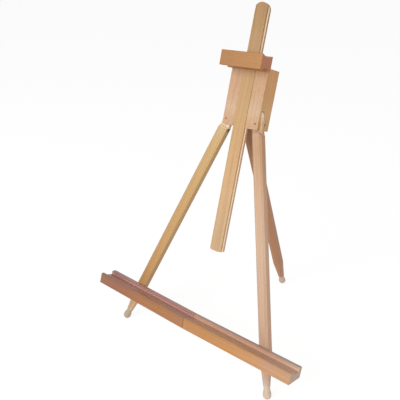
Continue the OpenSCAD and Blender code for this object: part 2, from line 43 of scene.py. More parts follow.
# ---- sizes: the same values as in the part's source -----------------------------------

# stance, with its angles in degrees
LEAN = 19.0
STANCE = 386.5
SWAY = 2.1
REAR_OPEN = 39.2
# legs and tips
LEG_W = 21.5
LEG_CHAMFER = 4.3
LEG_REACH = 523.5
SHOULDER_DROP = 16.5
SHOULDER_R = 8.5
TONGUE_T = 8.6
TONGUE_TOP = 24.0
TONGUE_CORNER_R = 4.0
ANKLE_R = 7.2
TAPER_LEN = 58.0
BULB_R = 8.2
NECK_R = 6.2
TIP_LEN = 28.0
PIN_X = 34.0
LEG_INSET = 1.5
REAR_PIN_Y = 26.5
HEEL_REACH = 11.2
HEEL_TOP = 16.4
# head block and mast
HEAD_D = 42.0
HEAD_TOP = 104.5
MAST_W = 26.0
FLANGE_W = 32.0
MAST_FRONT_T = 2.8
MAST_T = 9.0
MAST_PROUD = 0.8
MAST_TOP = 222.5
MAST_LEN = 487.0
MAST_CROWN_R = 60.0
# canvas holder and yoke
HOLDER_LEN = 91.0
HOLDER_D = 37.0
HOLDER_H = 28.0
HOLDER_Z = 97.5
COVE_DEPTH = 3.4
COVE_W = 33.0
HOLDER_LIP_T = 9.0
HOLDER_RIDGE_T = 9.5
HOLDER_RIDGE_DROP = 0.5
HOLDER_GROOVE = 5.0
YOKE_WALL = 7.0
# tray
TRAY_LEN = 495.0
TRAY_H = 23.0
TRAY_D = 44.5
TRAY_ARM = 437.5
TRAY_SHIFT = 2.0
TRAY_SAG = 1.8
LIP_T = 7.5
RIDGE_T = 11.0
GROOVE_FRONT = 5.5
GROOVE_BACK = 8.0
# knobs
MAST_LOCK_Z = 62.0
MAST_KNOB_R = 16.0
MAST_KNOB_T = 14.0
HOLDER_KNOB_R = 6.75
HOLDER_KNOB_T = 9.0
HOLDER_KNOB_LIFT = 0.7
MAST_KNOB_GAP = 1.5
HOLDER_KNOB_GAP = 1.0
# clearance of what slides or meets
SLIDE_GAP = 0.3

# ---- values of this scene alone -------------------------------------------------------

MM = 0.001
# radius of a bar's rounded rim
EDGE = 0.7
# how far the meshes of the tongue and the heel reach into the bar's
TONGUE_ROOT = 8.0
HEEL_ROOT = 1.0


def sin(a):
    return np.sin(np.radians(a))


def cos(a):
    return np.cos(np.radians(a))


class Place:
    """Where a piece stands: an origin, and its right, back and up directions."""

    def __init__(self, origin, right, back, up):
        self.origin, self.right, self.back, self.up = (
            np.asarray(v, float) for v in (origin, right, back, up))

    def at(self, x, y, z):
        """The same directions, from a point given in this place."""
        return Place(self.point(x, y, z), self.right, self.back, self.up)

    def point(self, x, y, z):
        return self.origin + x * self.right + y * self.back + z * self.up

    def lean_left(self, a):
        """Turned about the back direction, so that up swings to the left."""
        return Place(self.origin, cos(a) * self.right + sin(a) * self.up, self.back,
                     cos(a) * self.up - sin(a) * self.right)

    def foot_back(self, a):
        """Turned about the right direction, so that down swings to the back."""
        return Place(self.origin, self.right, cos(a) * self.back + sin(a) * self.up,
                     cos(a) * self.up - sin(a) * self.back)

    def world(self, p):
        """Points of this place, (..., 3) in millimetres, in the easel's frame in metres."""
        p = np.asarray(p, float)
        axes = np.stack([self.right, self.back, self.up])
        return (self.origin + p @ axes) * MM

    def matrix(self):
        m = np.eye(4)
        m[:3, 0], m[:3, 1], m[:3, 2] = self.right, self.back, self.up
        m[:3, 3] = self.origin * MM
        return Matrix(m.tolist())


# The angles of the two front legs follow from the stance and the sway.
pin_rise = PIN_X * sin(SWAY)
half_spread = (STANCE - 2 * PIN_X * cos(SWAY)) / 2
splay_mean = np.degrees(np.arcsin(np.hypot(half_spread, pin_rise) / LEG_REACH))
splay_diff = np.degrees(np.arctan2(pin_rise, half_spread))
left_angle = splay_mean + splay_diff
right_angle = splay_mean - splay_diff
# The height of the leg pins and the reach of the rear leg put all three feet on the floor.
leg_y = LEG_INSET + LEG_W / 2
pin_height = (BULB_R + (LEG_REACH * cos(left_angle) + pin_rise) * cos(LEAN)
              + leg_y * sin(LEAN))
rear_fall = cos(REAR_OPEN) * cos(SWAY) * cos(LEAN) + sin(REAR_OPEN) * sin(LEAN)
rear_reach = (pin_height - REAR_PIN_Y * sin(LEAN) - BULB_R) / rear_fall
rear_foot_y = ((REAR_PIN_Y + rear_reach * sin(REAR_OPEN)) * cos(LEAN)
               - rear_reach * cos(REAR_OPEN) * cos(SWAY) * sin(LEAN))
# The tray hangs on a pivot in each leg, and its halves meet in a seam that sags.
pivot_left = np.array([-PIN_X * cos(SWAY) - TRAY_ARM * sin(left_angle),
                       -pin_rise - TRAY_ARM * cos(left_angle)])
pivot_right = np.array([PIN_X * cos(SWAY) + TRAY_ARM * sin(right_angle),
                        pin_rise - TRAY_ARM * cos(right_angle)])
span = pivot_right - pivot_left
tray_tilt = np.degrees(np.arctan2(span[1], span[0]))
seam = ((pivot_left + pivot_right) / 2
        + TRAY_SHIFT * np.array([cos(tray_tilt), sin(tray_tilt)])
        - TRAY_SAG * np.array([-sin(tray_tilt), cos(tray_tilt)]))
tilt_left = np.degrees(np.arctan2(*(seam - pivot_left)[::-1]))
tilt_right = np.degrees(np.arctan2(*(pivot_right - seam)[::-1]))
tray_back = LEG_INSET - SLIDE_GAP
front_edge_y = ((seam[1] - TRAY_H / 2) * sin(LEAN) + (tray_back - TRAY_D) * cos(LEAN))
origin = [-seam[0], -(front_edge_y + rear_foot_y + BULB_R) / 2, pin_height]

PLANE = Place(origin, [1, 0, 0], [0, cos(LEAN), -sin(LEAN)], [0, sin(LEAN), cos(LEAN)])
HEAD = PLANE.lean_left(SWAY)
LEFT_LEG = HEAD.at(-PIN_X, leg_y, 0).lean_left(-(left_angle + SWAY))
RIGHT_LEG = HEAD.at(PIN_X, leg_y, 0).lean_left(right_angle - SWAY)
REAR_LEG = HEAD.at(0, REAR_PIN_Y, 0).foot_back(REAR_OPEN)
SEAM = PLANE.at(seam[0], tray_back, seam[1])
TRAY_LEFT = SEAM.lean_left(tilt_left).at(0, 0, -TRAY_H / 2)
TRAY_RIGHT = SEAM.lean_left(tilt_right).at(0, 0, -TRAY_H / 2)
HOLDER = HEAD.at(0, -MAST_PROUD - SLIDE_GAP, HOLDER_Z)
yoke_back = MAST_T + SLIDE_GAP + YOKE_WALL
holder_lock_z = HEAD_TOP + HOLDER_KNOB_R + HOLDER_KNOB_LIFT

# ---- camera ---------------------------------------------------------------------------

# The eye's place is given from the middle between the leg pins.
EYE = Vector(((PLANE.origin + (555.0, -810.3, 323.0)) * MM).tolist())
AZIMUTH, PITCH = 38.93, 26.78
SENSOR, LENS = 36.0, 47.49
camera_data = bpy.data.cameras.new("camera")
camera = bpy.data.objects.new("camera", camera_data)
bpy.context.scene.collection.objects.link(camera)
camera_data.sensor_width = SENSOR
camera_data.lens = LENS
look = Vector((-sin(AZIMUTH) * cos(PITCH), cos(AZIMUTH) * cos(PITCH), -sin(PITCH)))
view_right = Vector((cos(AZIMUTH), sin(AZIMUTH), 0))
view_up = view_right.cross(look)
turn = Matrix((view_right, view_up, -look)).transposed().to_4x4()
camera.matrix_world = Matrix.Translation(EYE) @ turn
bpy.context.scene.camera = camera

# ---- meshes ---------------------------------------------------------------------------


def build(name, verts, faces, sharp=40.0, weighted=True):
    """A mesh object from points in metres and index faces, smooth but for its sharp edges."""
    mesh = bpy.data.meshes.new(name)
    mesh.from_pydata(np.asarray(verts).tolist(), [], faces)
    mesh.update()
    bm = bmesh.new()
    bm.from_mesh(mesh)
    bmesh.ops.recalc_face_normals(bm, faces=bm.faces)
    bm.to_mesh(mesh)
    bm.free()
    mesh.shade_smooth()
    mesh.set_sharp_from_angle(angle=np.radians(sharp))
    piece = bpy.data.objects.new(name, mesh)
    bpy.context.scene.collection.objects.link(piece)
    if weighted:
        mod = piece.modifiers.new("flat_faces", "WEIGHTED_NORMAL")
        mod.keep_sharp = True
        mod.weight = 90
    return piece


def ring_faces(n, k):
    """Quads that join n rings of k points, each ring to the next."""
    i = np.arange(n - 1)[:, None] * k
    j = np.arange(k)[None, :]
    j2 = (j + 1) % k
    quads = np.stack([i + j, i + j2, i + k + j2, i + k + j], -1)
    return quads.reshape(-1, 4).tolist()


def sweep(name, place, rings, caps="flat", **kw):
    """Rings (n, k, 3) joined in order; "flat" caps are one face, "paired" caps join a
    ring's point i to its point k - 1 - i, and "point" caps close on the ring's mean."""
    rings = np.asarray(rings, float)
    n, k, _ = rings.shape
    verts = place.world(rings.reshape(-1, 3))
    faces = ring_faces(n, k)
    for base in (0, (n - 1) * k):
        if caps == "flat":
            faces.append(list(range(base, base + k)))
        elif caps == "paired":
            i = np.arange(k // 2 - 1)
            pair = np.stack([i, i + 1, k - 2 - i, k - 1 - i], -1) + base
            faces += pair.tolist()
        else:
            verts = np.vstack([verts, verts[base:base + k].mean(0)])
            hub = len(verts) - 1
            j = np.arange(k)
            faces += np.stack([base + j, base + (j + 1) % k, np.full(k, hub)], -1).tolist()
    return build(name, verts, faces, **kw)


def eased(outline, radius, steps=4):
    """Each corner P of a closed outline gives way to the curve (1-t)^2 A + 2t(1-t) P + t^2 B,
    where A and B lie at the given radius from P on its two edges."""
    p = np.asarray(outline, float)
    radius = np.broadcast_to(np.asarray(radius, float), (len(p),))[:, None]
    before, after = np.roll(p, 1, 0) - p, np.roll(p, -1, 0) - p
    a = p + before / np.linalg.norm(before, axis=1, keepdims=True) * radius
    b = p + after / np.linalg.norm(after, axis=1, keepdims=True) * radius
    t = np.linspace(0, 1, steps)[None, :, None]
    curve = (1 - t) ** 2 * a[:, None] + 2 * t * (1 - t) * p[:, None] + t ** 2 * b[:, None]
    return curve.reshape(-1, 2)


def inward(outline):
    """Unit directions into a closed outline at each of its points."""
    p = np.asarray(outline, float)
    d = np.roll(p, -1, 0) - np.roll(p, 1, 0)
    n = np.stack([-d[:, 1], d[:, 0]], 1) / np.maximum(np.linalg.norm(d, axis=1), 1e-9)[:, None]
    q = np.roll(p, -1, 0)
    area = (p[:, 0] * q[:, 1] - q[:, 0] * p[:, 1]).sum()
    return n if area > 0 else -n


def extrude(name, place, outline, lo, hi, axis, ease, stations=2, **kw):
    """An outline carried from lo to hi along an axis.  At each end the rim is rounded: it
    stands ease (1 - sin u) from the end where it is drawn in by ease (1 - cos u)."""
    p = np.asarray(outline, float)
    n = inward(p)
    u = np.linspace(np.pi / 2, 0, 4)
    ends = [(ease * (1 - np.cos(v)), ease * (1 - np.sin(v))) for v in u]
    first = [(d, lo + g) for d, g in ends]
    last = [(d, hi - g) for d, g in ends[::-1]]
    inner = [(0.0, s) for s in np.linspace(lo + ease, hi - ease, stations + 2)[1:-1]]
    rings = []
    for d, s in first + inner + last:
        q = p + n * d
        along = np.full(len(p), s)
        cols = {"x": (along, q[:, 0], q[:, 1]), "y": (q[:, 0], along, q[:, 1])}[axis]
        rings.append(np.stack(cols, -1))
    return sweep(name, place, rings, **kw)


def rounded_rim(ring, z, share, way):
    """Three rings that round the rim of a bar's end, whose face lies at z and looks up
    (way 1) or down (way -1): they draw in by 0, share and 1 times EDGE, and stand back
    from the face by 1, share and 0 times EDGE."""
    return [np.column_stack([ring + inward(ring) * EDGE * draw, z - way * EDGE * back])
            for draw, back in ((0.0, 1.0), (share, share), (1.0, 0.0))]


# ---- the wooden pieces ----------------------------------------------------------------


def leg_section():
    """Section of a leg: a square of half width w with its corners cut along
    |x| + |y| = 2w - c, and with both corners of each cut softened."""
    w, c = LEG_W / 2, LEG_CHAMFER
    return eased([(-w, -w + c), (-w + c, -w), (w - c, -w), (w, -w + c),
                  (w, w - c), (w - c, w), (-w + c, w), (-w, w - c)], radius=0.9, steps=9)


def leg_rings(reach, top):
    """The leg's section from the ankle to 1 mm under its top.  A cone whose radius grows
    from the ankle's to 0.6 of the leg's width over the taper limits how far each point
    stands from the axis."""
    ring = leg_section()
    ankle_z = TIP_LEN - BULB_R - reach
    low = ankle_z + np.linspace(0, TAPER_LEN, 34)
    high = np.linspace(ankle_z + TAPER_LEN, top.min() - 1, 12)[1:]
    z = np.concatenate([low, high])
    limit = ANKLE_R + (0.6 * LEG_W - ANKLE_R) * ((z - ankle_z) / TAPER_LEN)
    far = np.linalg.norm(ring, axis=1)
    scale = np.minimum(1, limit[:, None] / far[None, :])
    return [np.column_stack([ring * k[:, None], np.full(len(ring), h)])
            for k, h in zip(scale, z)]


def front_leg(name, place, side):
    """Bar from the ankle to the shoulder, whose end follows a quarter round of the
    shoulder's radius at the outer corner, and the tongue above it, whose top has a full
    round on its inner side and a small one on its outer side."""
    ring = leg_section()
    out = np.clip(side * ring[:, 0] - (LEG_W / 2 - SHOULDER_R), 0, SHOULDER_R)
    top = -SHOULDER_DROP - (SHOULDER_R - np.sqrt(SHOULDER_R ** 2 - out ** 2))
    rings = leg_rings(LEG_REACH, top) + rounded_rim(ring, top, 0.29, 1)
    bar = sweep(name, place, rings, caps="paired", sharp=50)
    a = np.linspace(0, 90, 13)
    r, q = LEG_W / 2, TONGUE_CORNER_R
    small = np.stack([r - q + q * cos(a), TONGUE_TOP - q + q * sin(a)], -1)
    full = np.stack([-r * sin(a), TONGUE_TOP - r + r * cos(a)], -1)
    root = -SHOULDER_DROP - TONGUE_ROOT
    outline = np.vstack([small, full, [(-r, root), (r, root)]]) * (side, 1)
    tongue = extrude(name + "_tongue", place, outline, -TONGUE_T / 2, TONGUE_T / 2, "y",
                     ease=0.4, sharp=50)
    return bar, tongue


def rear_heel():
    """Side outline of the rear leg's head about its pin.  Along the unit ray u it reaches
    the least of the heel's round and of s / (n . u) for the two sides of the bar and the
    facets that face the slot's front wall, where each stands at s in the direction n."""
    half = LEG_W / 2
    a = np.radians(np.linspace(0, 180, 61))
    ray = np.stack([np.cos(a), np.sin(a)], -1)
    # the corner between two facets is cut back, to pass the wall half-way through a swing
    clear = HEEL_REACH * cos(REAR_OPEN / 2) - 0.1
    flats = [(-cos(t), sin(t), s)
             for t, s in ((0, half), (REAR_OPEN, HEEL_REACH), (REAR_OPEN / 2, clear))]
    reach = np.full(len(a), HEEL_TOP)
    for ny, nz, stop in flats + [(1, 0, half)]:
        ahead = ray[:, 0] * ny + ray[:, 1] * nz
        reach = np.where(ahead > 1e-6, np.minimum(reach, stop / np.maximum(ahead, 1e-6)), reach)
    return ray * reach[:, None]


def rear_leg(name, place):
    """The lower bar as for the front legs, and a rounded heel as wide as the bar, whose
    sides are chamfered by the same amount as the bar's."""
    ring = leg_section()
    top = np.full(len(ring), -HEEL_ROOT)
    rings = leg_rings(rear_reach, top) + [np.column_stack([ring, top])]
    bar = sweep(name, place, rings, caps="flat", sharp=50)
    half = LEG_W / 2
    outline = np.vstack([rear_heel(), [(-half, -HEEL_ROOT), (half, -HEEL_ROOT)]])
    rings = []
    for x in (-half, -half + LEG_CHAMFER, half - LEG_CHAMFER, half):
        limit = 2 * half - LEG_CHAMFER - max(abs(x), half - LEG_CHAMFER)
        y = np.clip(outline[:, 0], -limit, limit)
        rings.append(np.stack([np.full(len(y), x), y, outline[:, 1]], -1))
    heel = sweep(name + "_heel", place, rings, caps="flat", sharp=30)
    return bar, heel


def mast(name):
    """T-section carried up the mast.  The half widths are held under the half circle of
    the top, sqrt(R^2 - h^2), where the last rings also draw a little together, and the
    bottom end follows the circle z = R - sqrt(R^2 - x^2) of a wide crown."""
    f, g = MAST_W / 2, FLANGE_W / 2
    t0, t1 = MAST_FRONT_T, MAST_T
    face, steps, inner = -MAST_PROUD, 4, 13
    ring = eased([(-f, face), (f, face), (f, t0), (g, t0), (g, t1), (-g, t1), (-g, t0), (-f, t0)],
                 [0.5, 0.5, 0.3, 0.5, 0.6, 0.6, 0.5, 0.3], steps)
    cols = np.linspace(-1, 1, inner + 2)[1:-1]
    front = np.stack([cols * (f - 1), np.full(inner, face)], -1)
    back = np.stack([-cols * (g - 1), np.full(inner, t1)], -1)
    ring = np.vstack([ring[:steps], front, ring[steps:5 * steps], back, ring[5 * steps:]])
    bottom, straight = MAST_TOP - MAST_LEN, MAST_TOP - g
    crown = bottom + MAST_CROWN_R - np.sqrt(MAST_CROWN_R ** 2 - ring[:, 0] ** 2)
    rings = rounded_rim(ring, crown, 0.3, -1)[::-1]
    above_crown = bottom + 12
    for z in np.linspace(above_crown, straight, 30):
        rings.append(np.column_stack([ring, np.full(len(ring), z)]))
    narrow = 3.0
    for a in np.radians(np.linspace(4, 89, 26)):
        wide = g * np.cos(a)
        q = ring.copy()
        q[:, 0] = np.clip(q[:, 0], -wide, wide)
        if wide < narrow:
            q[:, 1] = q[:, 1] + (MAST_T / 2 - q[:, 1]) * 0.1 * (1 - wide / narrow)
        rings.append(np.column_stack([q, np.full(len(ring), straight + g * np.sin(a))]))
    return sweep(name, HEAD, rings, caps="flat", sharp=35)


def tray_outline():
    """Section of the tray: lip, sloping groove floor and ridge over a plain block, in
    (back, up) from its lower back edge, with each arris eased."""
    d, h = -TRAY_D, TRAY_H
    pts = [(d, 0), (d, h), (d + LIP_T, h), (d + LIP_T, h - GROOVE_FRONT),
           (-RIDGE_T, h - GROOVE_BACK), (-RIDGE_T, h), (0, h), (0, 0)]
    return eased(pts, [1.6, 1.6, 1.4, 1.0, 1.2, 1.2, 1.4, 1.6], 6)


def tray_half(name, side):
    """Half of the tray.  Its end stands back by h/2 tan(turn), because the seam sags."""
    place, tilt = (TRAY_RIGHT, tilt_right) if side > 0 else (TRAY_LEFT, tilt_left)
    turn = np.radians(abs(tilt - tray_tilt))
    end = SLIDE_GAP / 2 + TRAY_H / 2 * np.tan(turn)
    lo, hi = (end, TRAY_LEN / 2) if side > 0 else (-TRAY_LEN / 2, -end)
    return extrude(name, place, tray_outline(), lo, hi, "x", ease=0.5, stations=20, sharp=35)


def holder_outline():
    """Section of the holder, with the cove z = h - depth + R - sqrt(R^2 - y^2) in its top
    and a shallow groove between the lip and the ridge below."""
    radius = (COVE_W ** 2 / 4 + COVE_DEPTH ** 2) / (2 * COVE_DEPTH)
    mid = -HOLDER_D / 2
    y = np.linspace(-COVE_W / 2, COVE_W / 2, 29) + mid
    cove = HOLDER_H - COVE_DEPTH + radius - np.sqrt(radius ** 2 - (y - mid) ** 2)
    lip_y, ridge_y = HOLDER_LIP_T - HOLDER_D, -HOLDER_RIDGE_T
    low = [(0, HOLDER_H), (0, -HOLDER_RIDGE_DROP), (ridge_y, -HOLDER_RIDGE_DROP),
           (ridge_y, HOLDER_GROOVE - 1), (ridge_y - 1, HOLDER_GROOVE),
           (lip_y + 1, HOLDER_GROOVE * 0.6), (lip_y, 0), (-HOLDER_D, 0), (-HOLDER_D, HOLDER_H)]
    ease = [0.7, 1.0, 0.8, 0.4, 0.4, 0.6, 0.9, 1.0, 0.8]
    # the cove's two ends are added only as neighbours for the corners beside them
    steps = 4
    cove_ends = [(y[0], cove[0]), (y[-1], cove[-1])]
    corners = eased(low + cove_ends, ease + [0.01, 0.01], steps)[:steps * len(low)]
    return np.vstack([corners, np.stack([y, cove], -1)])


def canvas_holder(name):
    return extrude(name, HOLDER, holder_outline(), -HOLDER_LEN / 2, HOLDER_LEN / 2, "x",
                   ease=0.4, stations=8, sharp=35)


def softened(node_name, width):
    """A copy of a CAD node's solid with its doubles merged and its edges rounded."""
    mesh = bpy.data.objects[node_name].data.copy()
    bm = bmesh.new()
    bm.from_mesh(mesh)
    bmesh.ops.remove_doubles(bm, verts=bm.verts, dist=1e-6)
    bmesh.ops.dissolve_limit(bm, angle_limit=np.radians(1.0), verts=bm.verts, edges=bm.edges)
    bm.to_mesh(mesh)
    bm.free()
    mesh.name = node_name + "_eased"
    mesh.shade_smooth()
    mesh.set_sharp_from_angle(angle=np.radians(35))
    piece = bpy.data.objects.new(node_name + "_eased", mesh)
    bpy.context.scene.collection.objects.link(piece)
    mod = piece.modifiers.new("eased_edges", "BEVEL")
    mod.limit_method = "ANGLE"
    mod.angle_limit = np.radians(50)
    mod.width = width * MM
    mod.segments = 2
    mod.use_clamp_overlap = False
    normals = piece.modifiers.new("flat_faces", "WEIGHTED_NORMAL")
    normals.keep_sharp = False
    return piece


# ---- turned and moulded pieces --------------------------------------------------------


def foot_tip(name, place, reach):
    """A profile r(z) turned about the leg's axis, (r cos a, r sin a, z): half a ball of the
    bulb's radius, a hollow neck that eases from the bulb to its narrowest by a half cosine,
    and a flare up to a rolled collar at the ankle."""
    ball_top, neck_z, shank = 2.5, 14.0, TIP_LEN - BULB_R
    flare_top, flare_r = shank - 3.0, ANKLE_R - 0.3
    roll_h, roll_r = 1.4, 0.5
    a = np.linspace(-89, 0, 16)
    r_ball, z_ball = BULB_R * cos(a), BULB_R * sin(a)
    t = np.linspace(0, 1, 14)[1:]
    wave = (1 - np.cos(np.pi * t)) / 2
    z_neck, z_flare = ball_top + (neck_z - ball_top) * t, neck_z + (flare_top - neck_z) * t
    r_neck = BULB_R + (NECK_R - BULB_R) * wave
    r_flare = NECK_R + (flare_r - NECK_R) * wave
    b = np.linspace(-80, 80, 9)
    z_collar = shank - roll_h + roll_h * sin(b)
    r_collar = ANKLE_R - roll_r + roll_r * cos(b)
    r = np.concatenate([r_ball, [BULB_R], r_neck, r_flare, r_collar])[:, None]
    z = np.concatenate([z_ball, [ball_top], z_neck, z_flare, z_collar])[:, None]
    turn_by = np.linspace(0, 2 * np.pi, 48, endpoint=False)
    x, y = r * np.cos(turn_by), r * np.sin(turn_by)
    rings = np.stack([x, y, np.broadcast_to(z, x.shape)], -1)
    return sweep(name, place.at(0, 0, -reach), rings, caps="point", sharp=60, weighted=False)


def star_knob(name, place, r, t, y0):
    """A dome on a boss about the back direction.  Its radius is the profile's R(s) times
    1 - 0.2 (0.5 - 0.5 cos 6a)^3 g, where g is 0 on the boss and 1 on the dome."""
    boss, rim, sag = t * 0.25, 0.86, 0.08
    stem = np.array([(0.42, 0.0), (0.53, 0.02), (0.55, 0.10), (0.55, 1.0)])
    a = np.linspace(-90, 90, 22)
    dome_r = r * (rim + (1 - rim) * cos(a))
    dome_s = boss + ((1 - sag) * t - boss) * (0.5 + 0.5 * sin(a))
    crown = np.linspace(0.84, 0.05, 8)
    radii = np.concatenate([stem[:, 0] * r, dome_r, crown * r])
    s = np.concatenate([stem[:, 1] * boss, dome_s, t * (1 - sag * (crown / rim) ** 2)])
    grip = np.concatenate([np.zeros(len(stem)), np.ones(len(a)),
                           np.clip(crown * 1.3 - 0.2, 0, 1)])
    ang = np.linspace(0, 2 * np.pi, 144, endpoint=False)
    flute = (0.5 - 0.5 * np.cos(6 * ang)) ** 3
    rr = radii[:, None] * (1 - 0.2 * flute[None] * grip[:, None])
    rings = np.stack([rr * np.cos(ang), np.broadcast_to(y0 + s[:, None], rr.shape),
                      rr * np.sin(ang)], -1)
    return sweep(name, place, rings, caps="point", sharp=60, weighted=False)


# ---- materials ------------------------------------------------------------------------


def material(name):
    m = bpy.data.materials.new(name)
    m.use_nodes = True
    tree = m.node_tree
    tree.nodes.clear()
    out = tree.nodes.new("ShaderNodeOutputMaterial")
    shader = tree.nodes.new("ShaderNodeBsdfPrincipled")
    tree.links.new(shader.outputs[0], out.inputs["Surface"])
    return m, tree, shader


def node(tree, kind, **inputs):
    """A shader node with some of its inputs set."""
    n = tree.nodes.new(kind)
    for key, value in inputs.items():
        n.inputs[key].default_value = value
    return n


def mix(tree, factor, a, b, kind="MIX"):
    """Two colours mixed or multiplied by a factor; each may be an output or a value."""
    n = tree.nodes.new("ShaderNodeMix")
    n.data_type = "RGBA"
    n.blend_type = kind
    for socket, value in ((n.inputs[0], factor), (n.inputs[6], a), (n.inputs[7], b)):
        if isinstance(value, bpy.types.NodeSocket):
            tree.links.new(value, socket)
        elif isinstance(value, (int, float)):
            socket.default_value = value
        else:
            socket.default_value = (*value, 1)
    return n.outputs[2]


def mix_shaders(tree, factor, a, b):
    n = tree.nodes.new("ShaderNodeMixShader")
    for socket, output in zip(n.inputs, (factor, a, b)):
        tree.links.new(output, socket)
    return n.outputs[0]


def math_node(tree, kind, a, b=0.0):
    n = tree.nodes.new("ShaderNodeMath")
    n.operation = kind
    for socket, value in zip(n.inputs, (a, b)):
        if isinstance(value, bpy.types.NodeSocket):
            tree.links.new(value, socket)
        else:
            socket.default_value = value
    return n.outputs[0]


def product(tree, value, *factors):
    for f in factors:
        value = math_node(tree, "MULTIPLY", value, f)
    return value


def total(tree, value, *terms):
    for t in terms:
        value = math_node(tree, "ADD", value, t)
    return value


def vector_math(tree, kind, vector, other=None):
    """A vector math node's output: a number for LENGTH and DOT_PRODUCT, else a vector."""
    n = tree.nodes.new("ShaderNodeVectorMath")
    n.operation = kind
    tree.links.new(vector, n.inputs[0])
    if other is not None:
        n.inputs[1].default_value = tuple(other)
    return n.outputs["Value" if kind in ("LENGTH", "DOT_PRODUCT") else "Vector"]


def ramp(tree, value, stops):
    """A value turned to a number or a colour by stops, whose places go from 0 to 1."""
    n = tree.nodes.new("ShaderNodeValToRGB")
    tree.links.new(value, n.inputs[0])
    marks = n.color_ramp.elements
    marks[0].position, marks[1].position = stops[0][0], stops[-1][0]
    for pos, _ in stops[1:-1]:
        marks.new(pos)
    for mark, (_, v) in zip(marks, stops):
        mark.color = (v, v, v, 1) if isinstance(v, (int, float)) else (*v, 1)
    return n.outputs[0]


def linear(rgb):
    """A colour given in display values 0 to 255 as linear light."""
    c = np.asarray(rgb, float) / 255
    return tuple(np.where(c <= 0.04045, c / 12.92, ((c + 0.055) / 1.055) ** 2.4).tolist())


def coords(tree, kind):
    return tree.nodes.new("ShaderNodeTexCoord").outputs[kind]


def piece_coords(tree, place, along, seed=None):
    """Coordinates of a piece's own frame in metres, with the grain along z; a seed shifts
    them by a little, so that no two pieces share a figure."""
    if along == "x":
        place = Place(place.origin, place.back, place.up, place.right)
    mapping = tree.nodes.new("ShaderNodeMapping")
    mapping.vector_type = "TEXTURE"
    m = place.matrix()
    start = m.to_translation()
    if seed is not None:
        rng = np.random.default_rng(seed)
        start += Vector(rng.uniform(-0.4, 0.4, 3).tolist()) * 0.02
    mapping.inputs["Location"].default_value = start
    mapping.inputs["Rotation"].default_value = m.to_euler("XYZ")
    tree.links.new(coords(tree, "Object"), mapping.inputs["Vector"])
    return mapping.outputs["Vector"]


def parts(tree, vector):
    n = tree.nodes.new("ShaderNodeSeparateXYZ")
    tree.links.new(vector, n.inputs[0])
    return n.outputs


def noise(tree, vector, scale, detail=3.0, rough=0.5, distort=0.0):
    n = node(tree, "ShaderNodeTexNoise", Scale=scale, Detail=detail, Roughness=rough,
             Distortion=distort)
    tree.links.new(vector, n.inputs["Vector"])
    return n.outputs["Fac"]


def grain_noise(tree, p, squeeze, **settings):
    """Noise whose coordinate along the grain is squeezed, so that it draws out along it."""
    return noise(tree, vector_math(tree, "MULTIPLY", p, (1, 1, squeeze)), **settings)


def times(tree, colour, factor, gain):
    """A colour multiplied by the gain, as far as the factor goes."""
    return mix(tree, factor, colour, gain, kind="MULTIPLY")


def between(tree, value, lo, hi):
    """0 where a length is at lo, 1 where it is at hi, both in millimetres."""
    n = tree.nodes.new("ShaderNodeMapRange")
    tree.links.new(value, n.inputs[0])
    n.inputs[1].default_value, n.inputs[2].default_value = lo * MM, hi * MM
    return n.outputs[0]


def facing(tree, direction, lo, hi):
    """1 where the surface faces a fixed direction, 0 where it faces well away from it."""
    towards = vector_math(tree, "DOT_PRODUCT", coords(tree, "Normal"), direction)
    return ramp(tree, towards, [(lo, 0.0), (hi, 1.0)])


def arrises(tree, lo, hi):
    """1 on the convex edges of a mesh, 0 on its flats."""
    geometry = tree.nodes.new("ShaderNodeNewGeometry")
    return ramp(tree, geometry.outputs["Pointiness"], [(lo, 0.0), (hi, 1.0)])


def bump(tree, shader, height, strength, distance):
    n = node(tree, "ShaderNodeBump", Strength=strength, Distance=distance)
    tree.links.new(height, n.inputs["Height"])
    tree.links.new(n.outputs[0], shader.inputs["Normal"])


